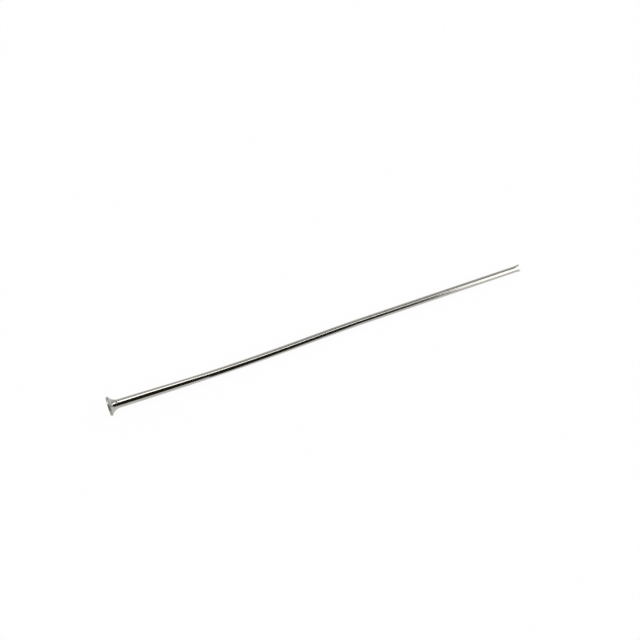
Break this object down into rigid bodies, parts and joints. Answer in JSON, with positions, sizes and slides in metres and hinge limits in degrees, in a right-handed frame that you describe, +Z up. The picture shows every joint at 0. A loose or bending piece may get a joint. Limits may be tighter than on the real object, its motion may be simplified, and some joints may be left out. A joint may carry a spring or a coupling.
{
  "type": "flat-head pin",
  "caption": "Straight wire pin with a flat upset disc head, a hollow flare behind it and a blunt nipped end, slightly bent by handling, lying flat.",
  "frame": {"origin": "bottom centre of the lying pin's bounding box, on the surface that it rests on", "axes": "+X from the head to the cut end, +Z up, with the head's and the cut end's centres both in the X-Z plane"},
  "size_m": [0.05, 0.002, 0.002],
  "materials": {
    "plated_wire": "polished"
  },
  "bodies": {
    "root": {"pin": "plated_wire"}
  },
  "joints": []
}
